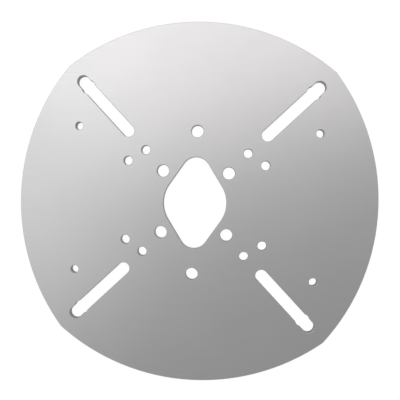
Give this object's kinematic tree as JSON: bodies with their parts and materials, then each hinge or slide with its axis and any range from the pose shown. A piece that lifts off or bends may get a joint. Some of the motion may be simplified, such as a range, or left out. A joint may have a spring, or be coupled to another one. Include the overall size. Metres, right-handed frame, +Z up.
{
  "type": "satellite dome mounting plate",
  "caption": "Flat aluminium plate with bowed sides, diagonal bolt slots, drilled bolt patterns and a lozenge-shaped cable opening, for fixing a satellite dome to a pedestal.",
  "frame": {"origin": "middle of the plate's bottom face", "axes": "+Z up out of the plate, +Y along the long axis of the cable opening, +X across it"},
  "size_m": [0.34, 0.34, 0.006],
  "materials": {
    "plate_metal": "satin, fine grain, clear anodised"
  },
  "bodies": {
    "root": {"mounting_plate": "plate_metal"}
  },
  "joints": []
}
